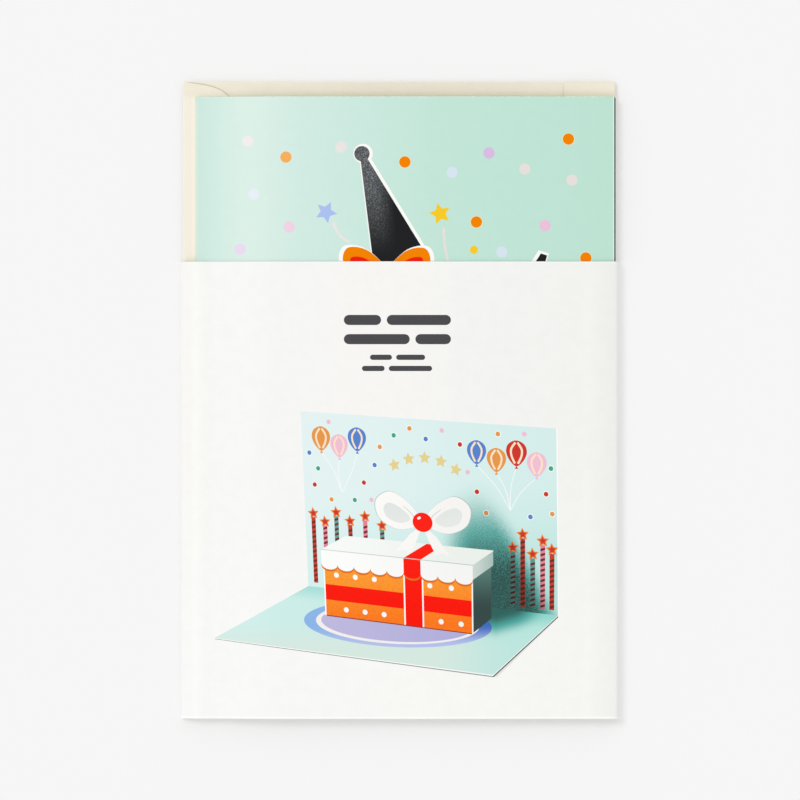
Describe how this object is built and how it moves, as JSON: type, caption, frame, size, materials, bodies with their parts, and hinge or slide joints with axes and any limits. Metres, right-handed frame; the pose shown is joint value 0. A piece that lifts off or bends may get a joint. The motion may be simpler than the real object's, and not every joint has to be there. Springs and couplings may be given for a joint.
{
  "type": "pop-up card with envelope in a paper sleeve",
  "caption": "Folded pop-up greeting card lying on its envelope, both held together by a printed paper sleeve that slides off either end.",
  "frame": {"origin": "centre of the underside of the bounding box, on the plane the pack lies on", "axes": "+X to the right across the front, away from the card's fold; +Y up the front, towards the envelope's tucked flap; +Z out of the front, through the thickness"},
  "size_m": [0.1254, 0.1828, 0.0049],
  "materials": {
    "sleeve_board": "coated white board, low sheen",
    "envelope_paper": "uncoated cream paper",
    "cover_board": "matt printed board",
    "popup_board": "matt printed board"
  },
  "bodies": {
    "card_and_envelope": {"card": "cover_board", "envelope": "envelope_paper", "gift_box": "popup_board", "bow": "popup_board", "bow_strut": "popup_board"},
    "sleeve": {"sleeve": "sleeve_board"}
  },
  "joints": [
    {"name": "sleeve_slide", "type": "slide", "parent": "card_and_envelope", "child": "sleeve", "axis": [0, -1, 0], "range_m": [-0.187, 0.135]}
  ]
}
